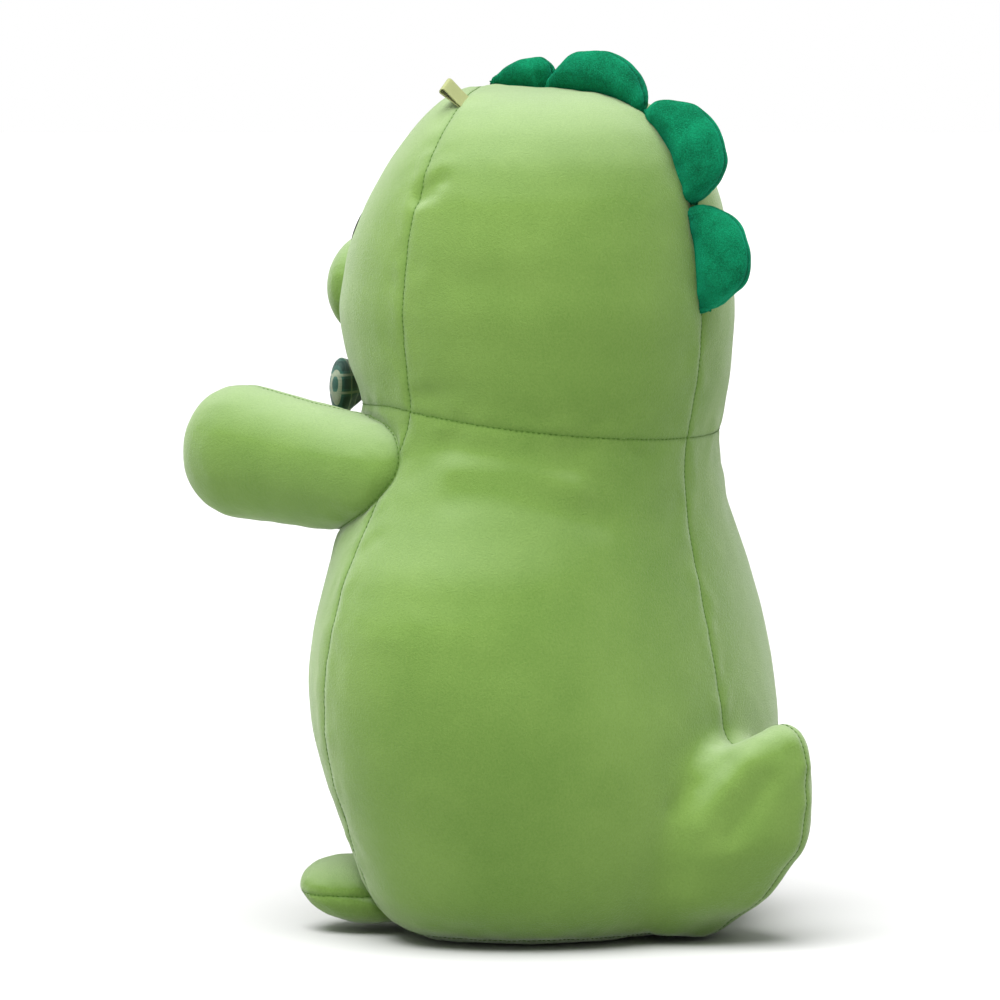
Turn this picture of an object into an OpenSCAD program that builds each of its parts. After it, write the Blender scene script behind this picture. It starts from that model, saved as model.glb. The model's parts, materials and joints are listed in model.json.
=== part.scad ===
// Seated plush dinosaur: sewn cover panels over loose-fill stuffing.
// Millimetres. +Z up, the dinosaur faces -Y, its left side is +X.
// The origin is the middle of the base, on the surface it sits on.

/* [Body] */
// Height of the neck seam above the floor, at the middle of the neck
neck_z = 261; // [218:1:314]
// Width of the body at its widest
body_w = 288; // [240:1:345]
// Depth of the body in front of the origin
body_front = 102; // [88:1:123]
// Depth of the body behind the origin, without the tail
body_back = 114; // [96:1:137]
// Angle of the belly seams, measured round from the back
belly_seam = 113; // [100:1:125]
// How much further forward the belly seams reach the floor, in degrees
belly_sweep = 12; // [0:1:16]

/* [Neck] */
// Width at the neck seam
neck_w = 192; // [165:1:220]
// Depth of the neck in front of the origin
neck_front = 91; // [80:1:100]
// Depth of the neck behind the origin
neck_back = 88; // [76:1:98]

// Slope of the neck seam, which rises towards the front
neck_slope = 0.14; // [0:0.01:0.17]

/* [Head] */
// Height of the head above the neck seam
head_h = 163; // [136:1:196]
// Width of the head at its widest
head_w = 204; // [180:1:240]
// Depth of the head in front of the origin
head_front = 103; // [92:1:122]
// Depth of the head behind the origin
head_back = 97; // [88:1:116]
// How far in front of the origin the three head panels meet
crown_forward = 30; // [15:1:40]
// Angle of the face seams, measured round from the back
face_seam = 99; // [90:1:115]

/* [Snout and face] */
// Width of the snout
snout_w = 84; // [64:1:100]
// Height of the snout
snout_h = 60; // [46:1:72]
// How far the snout stands out from the face
snout_proud = 14; // [11:1:24]
// Height of the middle of the snout above the neck seam
snout_up = 60; // [45:1:72]
// Diameter of each embroidered eye
eye_d = 17; // [10:1:24]
// Angle of each eye, measured round from the front
eye_angle = 25; // [20:1:44]
// Height of the eyes above the neck seam
eye_up = 92; // [75:1:110]
// Thickness of the embroidery
thread_t = 1.2; // [0.8:0.1:2]

/* [Tail] */
// How far the tail reaches behind the origin
tail_reach = 157; // [146:1:190]
// Height of the tail's tip
tail_tip_z = 110; // [92:1:132]
// Width of the tail at its widest
tail_w = 92; // [70:1:112]
// Gap under the tail
tail_low = 1.5; // [1:0.5:4]

/* [Arms] */
// Length of an arm from its shoulder pivot to the tip of the hand
arm_len = 121; // [100:1:146]
// Diameter of the arm at the shoulder
arm_root_d = 61; // [48:1:68]
// Height of the hand
hand_h = 70; // [56:1:84]
// Thickness of the hand, side to side
hand_t = 60; // [48:1:72]
// Distance of each shoulder pivot from the middle plane
shoulder_x = 80; // [72:1:88]
// Distance of each shoulder pivot in front of the origin
shoulder_forward = 38; // [28:1:44]
// Height of the shoulder pivots below the neck seam
shoulder_drop = 32; // [20:1:44]
// Upward slope of the arms, in degrees
arm_rise = 6; // [0:1:10]
// Inward swing of an arm, in degrees
hug_in = 14; // [5:1:18]
// Outward swing of an arm, in degrees
hug_out = 24; // [10:1:30]

/* [Feet] */
// How far the toes reach in front of the origin
foot_reach = 95; // [88:1:114]
// Width of a foot
foot_w = 66; // [54:1:78]
// Thickness of a foot
foot_t = 34; // [28:1:40]
// Distance of the middle of a foot from the middle plane
foot_x = 62; // [54:1:72]
// Gap under a foot at rest
foot_lift = 1.5; // [1:0.5:4]
// Upward flex of the toes, in degrees
toe_up = 25; // [10:1:30]

/* [Crest] */
// Height of the crest spikes, front to back
spike_h = [13, 21, 27, 28]; // [10:1:34]
// Thickness of the thickest spike
spike_t = 25; // [16:1:32]

/* [Bow] */
// Width of the bow
bow_w = 88; // [64:1:110]
// Height of the bow's loops
bow_h = 31; // [24:1:44]
// Thickness of the bow's loops
bow_t = 13; // [9:1:18]
// Height of the bow above the neck seam
bow_up = 9; // [4:1:20]

/* [Hang loop] */
// Width of the ribbon
ribbon_w = 12; // [8:1:16]
// Length of the folded ribbon outside the seam
ribbon_len = 11; // [9:1:22]
// Lean of the loop towards the face, in degrees
loop_lean = 31; // [0:1:40]
// Thickness of the ribbon
ribbon_t = 0.8; // [0.5:0.1:1.2]
// Clear height of the loop's eye
loop_eye = 2.4; // [1.6:0.2:3.6]

/* [Fabric] */
// Thickness of the plush fabric with its pile
plush_t = 2; // [1.5:0.1:3]
// Thickness of the crest's velvet
velvet_t = 1.2; // [0.8:0.1:2]
// Gap between a moving piece and what it moves in
play = 0.6; // [0.5:0.1:1.2]

/* [Hidden] */

// Degrees of spare room past each end of a limb's travel
pocket_spare = 1;

green = "#a6cf6a";
emerald = "#1f8a55";
teal = "#2e6b58";
olive = "#8f9a58";
thread = "#2a2f2a";
cotton = "#f2efe6";

// Numbers of facets: round the head and body, and round the small soft pieces
side_cols = 10;
front_cols = 8;
body_rows = 13;
head_rows = 12;
small_cols = 8;

// ---- curves -------------------------------------------------------------

// A point a share t of the way from b to c on a smooth curve through a, b, c and d
function bend(a, b, c, d, t) =
    0.5 * (2 * b + (c - a) * t + (2 * a - 5 * b + 4 * c - d) * t * t
           + (3 * b - a - 3 * c + d) * t * t * t);

// The smooth curve through the stations S, where u = 0 is the second and the two end
// stations only set the direction of the ends
function along(S, u) =
    let (n = len(S) - 3, i = min(max(floor(u), 0), n - 1))
    bend(S[i], S[i + 1], S[i + 2], S[i + 3], u - i);

// Stations with their first and last mirrored outwards
function open_ends(S) =
    let (n = len(S)) concat([2 * S[0] - S[1]], S, [2 * S[n - 1] - S[n - 2]]);

function unit(v) = v / norm(v);

// ---- solids from rows of points ------------------------------------------

// Triangles of the rows in a grid with c columns, turned the other way past column half
function grid_faces(r, c, start, half, flip) = [
    for (i = [0 : r - 2], j = [0 : c - 2])
        let (a = start + i * c + j, b = a + 1, d = a + c, e = d + 1,
             two = j < half ? [[a, b, e], [a, e, d]] : [[a, b, d], [b, e, d]])
        for (f = two) flip ? [f[2], f[1], f[0]] : f
];

// A sheet with a thickness, between an outer and an inner grid of points
module sheet(outer, inner, half) {
    r = len(outer);
    c = len(outer[0]);
    n = r * c;
    rim = concat(
        [for (j = [0 : c - 2]) each [[j, j + n, j + n + 1], [j, j + n + 1, j + 1]]],
        [for (j = [0 : c - 2]) let (k = n - c + j)
            each [[k, k + n + 1, k + n], [k, k + 1, k + n + 1]]],
        [for (i = [0 : r - 2]) let (k = i * c)
            each [[k, k + c + n, k + n], [k, k + c, k + c + n]]],
        [for (i = [0 : r - 2]) let (k = i * c + c - 1)
            each [[k, k + n, k + c + n], [k, k + c + n, k + c]]]
    );
    polyhedron(
        [for (row = outer) each row, for (row = inner) each row],
        concat(grid_faces(r, c, 0, half, false), grid_faces(r, c, n, half, true), rim)
    );
}

// A closed form through full rings of points; a ring of equal points is a pole
module closed_form(rings, half) {
    r = len(rings);
    c = len(rings[0]);
    wrapped = [for (ring = rings) concat(ring, [ring[0]])];
    polyhedron(
        [for (row = wrapped) each row],
        concat(
            grid_faces(r, c + 1, 0, half, false),
            [[for (j = [c - 1 : -1 : 0]) j]],
            [[for (j = [0 : c - 1]) (r - 1) * (c + 1) + j]]
        )
    );
}

// Works out what is inside as one triangle mesh, which soft curved shapes need
module soft() {
    resize([0, 0, 0]) children();
}

module mirrored(side) {
    if (side > 0) children();
    else mirror([1, 0, 0]) children();
}

// ---- head and body --------------------------------------------------------

// A station is [height, half width, front, back, middle, seam angle, slope].
// Shares of height, width, front and back at each station, from the base up
body_shares = [
    [0, 0.54, 0.42, 0.6], [0.012, 0.64, 0.51, 0.71], [0.035, 0.725, 0.59, 0.8],
    [0.095, 0.82, 0.69, 0.905], [0.18, 0.875, 0.775, 0.97], [0.27, 0.935, 0.86, 0.995],
    [0.36, 0.98, 0.945, 0.985], [0.46, 1, 1, 0.95], [0.57, 0.99, 0.98, 0.89],
    [0.68, 0.93, 0.915, 0.835]
];
body_stations = concat(
    [for (s = body_shares)
        [s[0] * neck_z, s[1] * body_w / 2, -s[2] * body_front, s[3] * body_back, 0,
         belly_seam + belly_sweep * max(0, 1 - s[0] / 0.57), 0]],
    [
        let (k = 0.42) [0.8 * neck_z, (body_w * k + neck_w * (1 - k)) / 2,
            -(body_front * 0.2 + neck_front * 0.8), body_back * 0.06 + neck_back * 0.94, 0,
            belly_seam * 0.7 + face_seam * 0.3, neck_slope * 0.35],
        let (k = 0.1) [0.91 * neck_z, (body_w * k + neck_w * (1 - k)) / 2,
            -neck_front, neck_back - 0.5, 0, belly_seam * 0.3 + face_seam * 0.7, neck_slope * 0.8],
        [neck_z, neck_w / 2, -neck_front, neck_back, 0, face_seam, neck_slope]
    ]
);

// Shares between the neck and the widest ring: [height, out, slope]
head_low = [[0.085, 0.38, 0.75], [0.18, 0.8, 0.4]];
// Shares from the widest ring to the crown: [height, width, front, back, crown]
head_high = [
    [0.3, 1, 1, 1, 0], [0.44, 0.985, 0.96, 0.985, 0], [0.56, 0.955, 0.895, 0.955, 0],
    [0.67, 0.905, 0.795, 0.91, 0], [0.775, 0.825, 0.69, 0.845, 0.01],
    [0.865, 0.71, 0.58, 0.745, 0.05], [0.935, 0.56, 0.485, 0.585, 0.15],
    [0.98, 0.36, 0.395, 0.35, 0.45]
];
head_stations = concat(
    [[neck_z, neck_w / 2, -neck_front, neck_back, 0, face_seam, neck_slope]],
    [for (s = head_low) [
        neck_z + s[0] * head_h,
        (neck_w * (1 - s[1]) + head_w * s[1]) / 2,
        -(neck_front * (1 - s[1]) + head_front * s[1]),
        neck_back * (1 - s[1]) + head_back * s[1], 0, face_seam, s[2] * neck_slope]],
    [for (s = head_high) [
        neck_z + s[0] * head_h, s[1] * head_w / 2, -s[2] * head_front, s[3] * head_back,
        -s[4] * crown_forward, face_seam, 0]],
    [[neck_z + head_h, 0, -crown_forward, -crown_forward, -crown_forward, face_seam, 0]]
);
// Past the crown the curve carries on over to the other side
last_ring = head_stations[len(head_stations) - 2];
head_curve = concat(
    [2 * head_stations[0] - head_stations[1]],
    head_stations,
    [[last_ring[0], -last_ring[1], last_ring[3], last_ring[2], last_ring[4], face_seam, 0]]
);
body_curve = open_ends(body_stations);

body_steps = len(body_stations) - 1;
head_steps = len(head_stations) - 1;
// Rows lie closer together near the crown
function body_u(i) = body_steps * i / body_rows;
function head_u(i) = head_steps * sin(90 * pow(i / head_rows, 0.96));

// The station at u, moved inwards by t (outwards where t is negative)
function moved_in(S, u, t) =
    let (s = along(S, u), a = along(S, u - 0.02), b = along(S, u + 0.02), d = b - a,
         w = norm([d[0], d[1]]), f = norm([d[0], d[2]]), k = norm([d[0], d[3]]))
    [s[0] + t * d[1] / w, max(s[1] - t * d[0] / w, 0), min(s[2] + t * d[0] / f, s[4]),
     max(s[3] - t * d[0] / k, s[4]), s[4], s[5], s[6]];

// The body's station: mitred at the base, level at the neck
function body_at(i, t) =
    i == 0 ? let (s = body_stations[0]) [t, s[1] - t, s[2] + t, s[3] - t, s[4], s[5], s[6]]
    : i == body_rows
        ? let (s = body_stations[body_steps]) [s[0], s[1] - t, s[2] + t, s[3] - t, s[4], s[5], s[6]]
    : moved_in(body_curve, body_u(i), t);

// The head's station: level at the neck, closed at the crown
function head_at(i, t) =
    i == 0 ? let (s = head_stations[0]) [s[0], s[1] - t, s[2] + t, s[3] - t, s[4], s[5], s[6]]
    : i == head_rows
        ? let (s = head_stations[head_steps]) [s[0] - t, 0, s[4], s[4], s[4], s[5], s[6]]
    : moved_in(head_curve, head_u(i), t);

function ring_point(s, phi) =
    let (y = s[4] + cos(phi) * (cos(phi) > 0 ? s[3] - s[4] : s[4] - s[2]))
    [s[1] * sin(phi), y, s[0] - s[6] * y];

half_cols = side_cols + front_cols;
// Angle of column j, where the side panels end at the seam angle
function column_angle(j, seam) =
    j > half_cols ? 360 - column_angle(2 * half_cols - j, seam)
    : j <= side_cols ? seam * j / side_cols
    : seam + (180 - seam) * (j - side_cols) / front_cols;
function row_points(s, j0, j1) = [for (j = [j0 : j1]) ring_point(s, column_angle(j, s[5]))];

function body_grid(t, j0, j1) = [for (i = [0 : body_rows]) row_points(body_at(i, t), j0, j1)];
function head_grid(t, j0, j1) = [for (i = [0 : head_rows]) row_points(head_at(i, t), j0, j1)];

// Everything inside the body's or the head's skin, moved in by t
module body_form(t) {
    closed_form(body_grid(t, 0, 2 * half_cols - 1), half_cols);
}

module head_form(t) {
    closed_form(head_grid(t, 0, 2 * half_cols - 1), half_cols);
}

// Body and head as one form, with the neck's ring only once
module trunk_form(t) {
    head = head_grid(t, 0, 2 * half_cols - 1);
    closed_form(
        concat(body_grid(t, 0, 2 * half_cols - 1), [for (i = [1 : head_rows]) head[i]]), half_cols);
}

module head_panel(side) {
    color(green) mirrored(side) sheet(
        head_grid(0, 0, side_cols), head_grid(plush_t, 0, side_cols), half_cols);
}

module face_panel() {
    last = 2 * half_cols - side_cols;
    color(green) sheet(
        head_grid(0, side_cols, last), head_grid(plush_t, side_cols, last), front_cols);
}

module head_stuffing() {
    color(cotton) head_form(plush_t);
}

module belly_panel() {
    last = 2 * half_cols - side_cols;
    color(green) soft() difference() {
        sheet(body_grid(0, side_cols, last), body_grid(plush_t, side_cols, last), front_cols);
        limb_pockets();
    }
}

module side_panel(side) {
    color(green) mirrored(side) soft() {
        difference() {
            sheet(body_grid(0, 0, side_cols), body_grid(plush_t, 0, side_cols), half_cols);
            tail_form(plush_t);
            limb_pockets();
        }
        difference() {
            sheet(tail_grid(0, 0, tail_cols), tail_grid(plush_t, 0, tail_cols), tail_cols);
            body_form(plush_t / 2);
        }
    }
}

module base_panel() {
    rings = [for (t = [0, plush_t]) row_points(body_at(0, t), 0, 2 * half_cols - 1)];
    color(green) soft() difference() {
        closed_form(rings, half_cols);
        limb_pockets();
    }
}

module body_stuffing() {
    color(cotton) soft() difference() {
        body_form(plush_t);
        limb_pockets();
    }
}

// ---- tail -------------------------------------------------------------------

tail_cols = 10;
tail_rows = 9;
// Shares [height, half width, front, back, middle], closed at the bottom and the tip
tail_shares = [
    [0, 0, 0.55, 0.55, 0.55], [0.02, 0.6, 0.28, 0.63, 0.55], [0.11, 0.86, 0.18, 0.745, 0.55],
    [0.255, 0.98, 0.15, 0.865, 0.55], [0.43, 1, 0.15, 0.96, 0.56], [0.61, 0.9, 0.19, 0.995, 0.6],
    [0.76, 0.74, 0.4, 1, 0.7], [0.87, 0.575, 0.66, 0.99, 0.8], [0.945, 0.4, 0.79, 0.965, 0.87],
    [0.985, 0.22, 0.855, 0.935, 0.895], [1, 0, 0.9, 0.9, 0.9]
];
tail_stations = [
    for (s = tail_shares) [
        tail_low + s[0] * (tail_tip_z - tail_low), s[1] * tail_w / 2,
        s[2] * tail_reach, s[3] * tail_reach, s[4] * tail_reach, 0, 0]
];
tail_steps = len(tail_stations) - 1;
function past_pole(s) = [s[0], -s[1], s[3], s[2], s[4], 0, 0];
tail_curve = concat(
    [past_pole(tail_stations[1])], tail_stations, [past_pole(tail_stations[tail_steps - 1])]);

function tail_at(i, t) =
    i == 0 || i == tail_rows
        ? let (s = tail_stations[i == 0 ? 0 : tail_steps], up = i == 0 ? t : -t)
            [s[0] + up, 0, s[4], s[4], s[4], 0, 0]
    : moved_in(tail_curve, tail_steps * (1 - cos(180 * i / tail_rows)) / 2, t);

// Rows of the tail, from its back round the left side to its front and on
function tail_grid(t, j0, j1) = [
    for (i = [0 : tail_rows])
        [for (j = [j0 : j1]) ring_point(tail_at(i, t), 180 * j / tail_cols)]
];

module tail_form(t) {
    closed_form(tail_grid(t, 0, 2 * tail_cols - 1), tail_cols);
}

module tail_stuffing() {
    color(cotton) soft() difference() {
        tail_form(plush_t);
        body_form(plush_t / 2);
    }
}

// ---- arms -------------------------------------------------------------------

shoulder = [shoulder_x, -shoulder_forward, neck_z - shoulder_drop];
root_r = arm_root_d / 2;
arm_rows = 12;
// Stations [distance from the pivot, half height, half thickness, rise], hand last
arm_stations = [
    [0, root_r, root_r, 0],
    [0.3 * arm_len, root_r + 0.2 * (hand_h / 2 - root_r), root_r * 0.97, 0],
    [0.55 * arm_len, hand_h / 2 * 0.94, hand_t / 2 * 0.98, 0.5],
    [0.74 * arm_len, hand_h / 2, hand_t / 2, 1],
    [0.885 * arm_len, hand_h / 2 * 0.84, hand_t / 2 * 0.8, 1],
    [0.965 * arm_len, hand_h / 2 * 0.52, hand_t / 2 * 0.48, 1],
    [arm_len, 0, 0, 1]
];
arm_steps = len(arm_stations) - 1;
hand_last = arm_stations[arm_steps - 1];
arm_curve = concat(
    [[-0.3 * arm_len, root_r, root_r, 0]],
    arm_stations,
    [[hand_last[0], -hand_last[1], -hand_last[2], hand_last[3]]]
);
// The ball at the shoulder is a quarter circle of rings behind the pivot
ball_rows = 5;

function arm_station(i, t) =
    i < ball_rows
        ? let (a = 90 * i / ball_rows, r = root_r - t) [-r * cos(a), r * sin(a), r * sin(a), 0]
    : i == ball_rows + arm_rows ? [arm_len - t, 0, 0, 1]
    : let (s = along(arm_curve, arm_steps * sin(90 * (i - ball_rows) / arm_rows)))
        [min(s[0], arm_len - t), max(s[1] - t, 0), max(s[2] - t, 0), s[3]];

// One ring of the left arm, from its top round the outer side and back
function arm_ring(i, t, j0, j1) =
    let (s = arm_station(i, t), forward = [0, -cos(arm_rise), sin(arm_rise)],
         over = [0, sin(arm_rise), cos(arm_rise)])
    [for (j = [j0 : j1]) let (v = 180 * j / small_cols)
        shoulder + forward * s[0] + over * (s[1] * cos(v) + s[3]) + [s[2] * sin(v), 0, 0]];

function arm_grid(t, j0, j1) =
    [for (i = [0 : ball_rows + arm_rows]) arm_ring(i, t, j0, j1)];

module arm_form(t) {
    closed_form(arm_grid(t, 0, 2 * small_cols - 1), small_cols);
}

module turned_at(pivot, axis, angle) {
    translate(pivot) rotate(angle, axis) translate(-pivot) children();
}

// A cover half: v runs round from the top, the outer half first
module arm_cover(side, outer_half) {
    j0 = outer_half ? 0 : small_cols;
    color(green) mirrored(side) soft() difference() {
        sheet(arm_grid(0, j0, j0 + small_cols), arm_grid(plush_t, j0, j0 + small_cols),
            outer_half ? small_cols : 0);
        body_form(-play);
    }
}

module arm_stuffing(side) {
    color(cotton) mirrored(side) arm_form(plush_t);
}

// ---- feet -------------------------------------------------------------------

foot_rows = 12;
foot_len = foot_reach * 0.62;
foot_z = foot_lift + foot_t / 2;
// The foot bends up about a cross axis at the top of its root
ankle = [foot_x, -(foot_reach - foot_len), foot_z + foot_t * 0.3];
// Stations [forward share, width share, thickness share, rise of the toe]
foot_shares = [
    [0, 0, 0, 0], [0.05, 0.42, 0.44, 0], [0.2, 0.78, 0.8, 0], [0.45, 0.97, 0.98, 0],
    [0.68, 1, 1, 0], [0.85, 0.83, 0.82, 0.04], [0.96, 0.47, 0.48, 0.1], [1, 0, 0, 0.13]
];
foot_steps = len(foot_shares) - 1;
foot_curve = concat([[0.05, -0.42, -0.44, 0]], foot_shares, [[0.96, -0.47, -0.48, 0.1]]);

// One ring of the left foot, from its inner edge over the top and back underneath
function foot_ring(i, t, j0, j1) =
    let (u = foot_steps * (1 - cos(180 * i / foot_rows)) / 2, s = along(foot_curve, u),
         w = max(s[1] * foot_w / 2 - t, 0), h = max(s[2] * foot_t / 2 - t, 0),
         y = ankle[1] - foot_len * s[0], back = -t * (2 * s[0] - 1),
         z = foot_z + s[3] * foot_t + foot_t * 0.04)
    [for (j = [j0 : j1]) let (v = 180 * j / small_cols)
        [foot_x - w * cos(v), y - back, z + h * sin(v)]];

function foot_grid(t, j0, j1) = [for (i = [0 : foot_rows]) foot_ring(i, t, j0, j1)];

module foot_form(t) {
    closed_form(foot_grid(t, 0, 2 * small_cols - 1), small_cols);
}

module foot_cover(side, top_half) {
    j0 = top_half ? 0 : small_cols;
    color(green) mirrored(side) soft() difference() {
        sheet(foot_grid(0, j0, j0 + small_cols), foot_grid(plush_t, j0, j0 + small_cols),
            top_half ? small_cols : 0);
        body_form(-play);
    }
}

module foot_stuffing(side) {
    color(cotton) mirrored(side) foot_form(plush_t);
}

// The room that the arms and feet need in the body over their whole travel
module limb_pockets() {
    for (side = [1, -1]) mirrored(side) {
        hull() {
            turned_at(shoulder, [0, 0, 1], hug_out + pocket_spare) arm_form(-play);
            turned_at(shoulder, [0, 0, 1], -hug_in - pocket_spare) arm_form(-play);
        }
        hull() {
            foot_form(-play);
            turned_at(ankle, [1, 0, 0], -toe_up - pocket_spare) foot_form(-play);
        }
    }
}

// ---- face -------------------------------------------------------------------

snout_mid = [0, -head_front + 8, neck_z + snout_up];

module snout_form(t) {
    translate(snout_mid) scale([snout_w / 2 - t, snout_proud + 8 - t, snout_h / 2 - t])
        sphere(1, $fn = 28);
}

module snout_cover() {
    color(green) soft() difference() {
        snout_form(0);
        snout_form(plush_t);
        head_form(0);
    }
}

module snout_stuffing() {
    color(cotton) soft() difference() {
        snout_form(plush_t);
        head_form(0);
    }
}

// A patch of embroidery on the face inside the child's outline
module on_face() {
    soft() difference() {
        intersection() {
            head_form(-thread_t);
            children();
        }
        head_form(0);
    }
}

module on_snout() {
    soft() difference() {
        intersection() {
            snout_form(-thread_t);
            children();
        }
        snout_form(0);
    }
}

module eye(side) {
    color(thread) mirrored(side) on_face()
        translate([0, 0, neck_z + eye_up]) rotate([90, 0, eye_angle])
        cylinder(h = head_front * 1.3, d = eye_d, $fn = 28);
}

nostril_d = 5.5;
nostril_gap = 20;
module nostrils() {
    color(thread) on_snout() for (side = [1, -1])
        translate(snout_mid + [side * nostril_gap / 2, 0, snout_h * 0.2]) rotate([90, 0, 0])
        scale([1, 1.35, 1]) cylinder(h = 60, d = nostril_d, $fn = 20);
}

mouth_w = 34;
mouth_line = 2.2;
module mouth_stitch() {
    rise = 7;
    r = (pow(mouth_w / 2, 2) + rise * rise) / (2 * rise);
    color(thread) on_snout() translate(snout_mid + [0, 0, -snout_h * 0.2]) rotate([90, 0, 0])
    linear_extrude(60) intersection() {
        translate([0, r]) difference() {
            circle(r + mouth_line / 2, $fn = 72);
            circle(r - mouth_line / 2, $fn = 72);
        }
        translate([-mouth_w / 2, -mouth_line]) square([mouth_w, rise + mouth_line]);
    }
}

// ---- bow --------------------------------------------------------------------

bow_mid = [0, -neck_front - bow_t / 2 - 6, neck_z + bow_up];
knot_w = 17;
knot_tall = 0.75;
bow_rows = 9;
// Shares along a loop from the knot: [out, half height, half thickness]
loop_shares = [[0, 0, 0], [0.04, 0.3, 0.4], [0.3, 0.62, 0.85], [0.65, 0.98, 1], [0.92, 0.8, 0.72], [1, 0, 0]];
loop_steps = len(loop_shares) - 1;
loop_curve = concat([[0.04, -0.3, -0.4]], loop_shares, [[0.92, -0.8, -0.72]]);

function loop_ring(i) =
    let (s = along(loop_curve, loop_steps * i / bow_rows),
         out = knot_w / 2 + s[0] * (bow_w - knot_w) / 2,
         back = 0.18 * pow(out / (bow_w / 2), 2) * bow_w / 2)
    [for (j = [0 : 2 * small_cols - 1]) let (v = 180 * j / small_cols)
        bow_mid + [out, back - s[2] * bow_t / 2 * cos(v), s[1] * bow_h / 2 * sin(v)]];

module bow_loop(side) {
    color(teal) mirrored(side) soft() difference() {
        closed_form([for (i = [0 : bow_rows]) loop_ring(i)], small_cols);
        trunk_form(-play);
    }
}

// One ring of the knot at the share a of its height
function knot_ring(a) =
    let (r = pow(sin(180 * a), 0.5), tall = bow_h * knot_tall)
    [for (j = [0 : 2 * small_cols - 1]) let (v = 180 * j / small_cols)
        bow_mid + [r * knot_w / 2 * cos(v), r * bow_t * 0.72 * sin(v), tall * (a - 0.5)]];

module bow_knot() {
    color(teal) soft() difference() {
        closed_form([for (i = [0 : bow_rows]) knot_ring((1 - cos(180 * i / bow_rows)) / 2)],
            small_cols);
        trunk_form(0);
        snout_form(0);
    }
}

// ---- crest ------------------------------------------------------------------

// Where each spike starts, has its middle and ends on the back seam, as steps of the head
// curve down from the crown, front to back
spike_rows = 10;
spike_cols = 8;
crown_u = head_steps;
spike_from = [0.02, 0.56, 2.3, 5.4];
spike_mid = [0.28, 1, 3.8, 6.62];
spike_to = [0.55, 2.24, 5.34, 7.9];
function spike_u(k, a) =
    crown_u - spike_from[k] * (1 - a) * (1 - 2 * a) - spike_mid[k] * 4 * a * (1 - a)
    - spike_to[k] * a * (2 * a - 1);

// A point of the back seam, and the direction out of the skin there
function seam_point(u) = ring_point(along(head_curve, u), 0);
function seam_out(u) =
    let (d = seam_point(u - 0.05) - seam_point(u + 0.05)) unit([0, -d[2], d[1]]);

// One ring across spike k at the share a along its base, from the root over its left side
function spike_ring(k, a, t, j0, j1) =
    let (u = spike_u(k, a),
         rise = pow(sin(180 * a), 0.55), root = seam_point(u) + seam_out(u) * (play + t),
         tall = max(spike_h[k] * rise - 2 * t, 0),
         out = unit(seam_out(u) + seam_out(spike_u(k, 0.5))),
         share = 0.75 + 0.25 * spike_h[k] / max(spike_h),
         thick = max(spike_t / 2 * share * pow(sin(180 * a), 0.6) - t, 0))
    [for (j = [j0 : j1])
        let (v = 180 * j / spike_cols, q = (1 - cos(v)) / 2,
             bulge = 1.62 * pow(q, 0.72) * pow(1 - q, 0.42))
        root + out * tall * q + [thick * bulge * (v > 180 ? -1 : 1), 0, 0]];

function spike_grid(k, t, j0, j1) = [
    for (i = [0 : spike_rows])
        let (m = 0.06 * t, a = (1 - cos(180 * i / spike_rows)) / 2)
        spike_ring(k, m + (1 - 2 * m) * a, t, j0, j1)
];

module spike_cover(k, side) {
    color(emerald) mirrored(side) sheet(
        spike_grid(k, 0, 0, spike_cols), spike_grid(k, velvet_t, 0, spike_cols), spike_cols);
}

module spike_stuffing(k) {
    color(cotton) closed_form(spike_grid(k, velvet_t, 0, 2 * spike_cols - 1), spike_cols);
}

// ---- hang loop ----------------------------------------------------------------

// The loop leaves the left face seam near the crown
loop_u = crown_u - 1.75;
loop_root = ring_point(along(head_curve, loop_u), face_seam);
loop_above = ring_point(along(head_curve, loop_u + 0.05), face_seam);
loop_below = ring_point(along(head_curve, loop_u - 0.05), face_seam);
loop_along = unit(loop_above - loop_below);
loop_skin = unit(cross(
    loop_along, ring_point(along(head_curve, loop_u), face_seam + 1) - loop_root));
loop_out = cos(loop_lean) * loop_skin + sin(loop_lean) * unit(cross(loop_skin, loop_along));

module hang_loop() {
    eye_r = loop_eye / 2;
    side_dir = unit(cross(loop_along, loop_out));
    frame = [
        [loop_along[0], side_dir[0], loop_out[0], 0],
        [loop_along[1], side_dir[1], loop_out[1], 0],
        [loop_along[2], side_dir[2], loop_out[2], 0],
        [0, 0, 0, 1]
    ];
    reach = ribbon_len - eye_r - ribbon_t;
    color(olive) translate(loop_root + loop_out * play) multmatrix(frame)
    rotate([90, 0, 90]) translate([0, 0, -ribbon_w / 2]) linear_extrude(ribbon_w) difference() {
        union() {
            translate([0, reach]) circle(eye_r + ribbon_t, $fn = 28);
            polygon([[-ribbon_t, 0], [ribbon_t, 0], [eye_r + ribbon_t, reach],
                     [-eye_r - ribbon_t, reach]]);
        }
        translate([0, reach]) circle(eye_r, $fn = 28);
        polygon([[0, ribbon_t * 2], [eye_r, reach], [-eye_r, reach]]);
    }
}

// ---- nodes --------------------------------------------------------------------

face_panel();
head_panel(1);  // head_panel_left
head_panel(-1);  // head_panel_right
head_stuffing();
snout_cover();
snout_stuffing();
eye(1);  // eye_left
eye(-1);  // eye_right
nostrils();
mouth_stitch();
belly_panel();
side_panel(1);  // side_panel_left
side_panel(-1);  // side_panel_right
base_panel();
body_stuffing();
tail_stuffing();
bow_loop(1);  // bow_loop_left
bow_loop(-1);  // bow_loop_right
bow_knot();
hang_loop();
arm_cover(1, true);  // arm_left_outer
arm_cover(1, false);  // arm_left_inner
arm_stuffing(1);  // arm_left_stuffing
arm_cover(-1, true);  // arm_right_outer
arm_cover(-1, false);  // arm_right_inner
arm_stuffing(-1);  // arm_right_stuffing
foot_cover(1, true);  // foot_left_top
foot_cover(1, false);  // foot_left_sole
foot_stuffing(1);  // foot_left_stuffing
foot_cover(-1, true);  // foot_right_top
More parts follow.
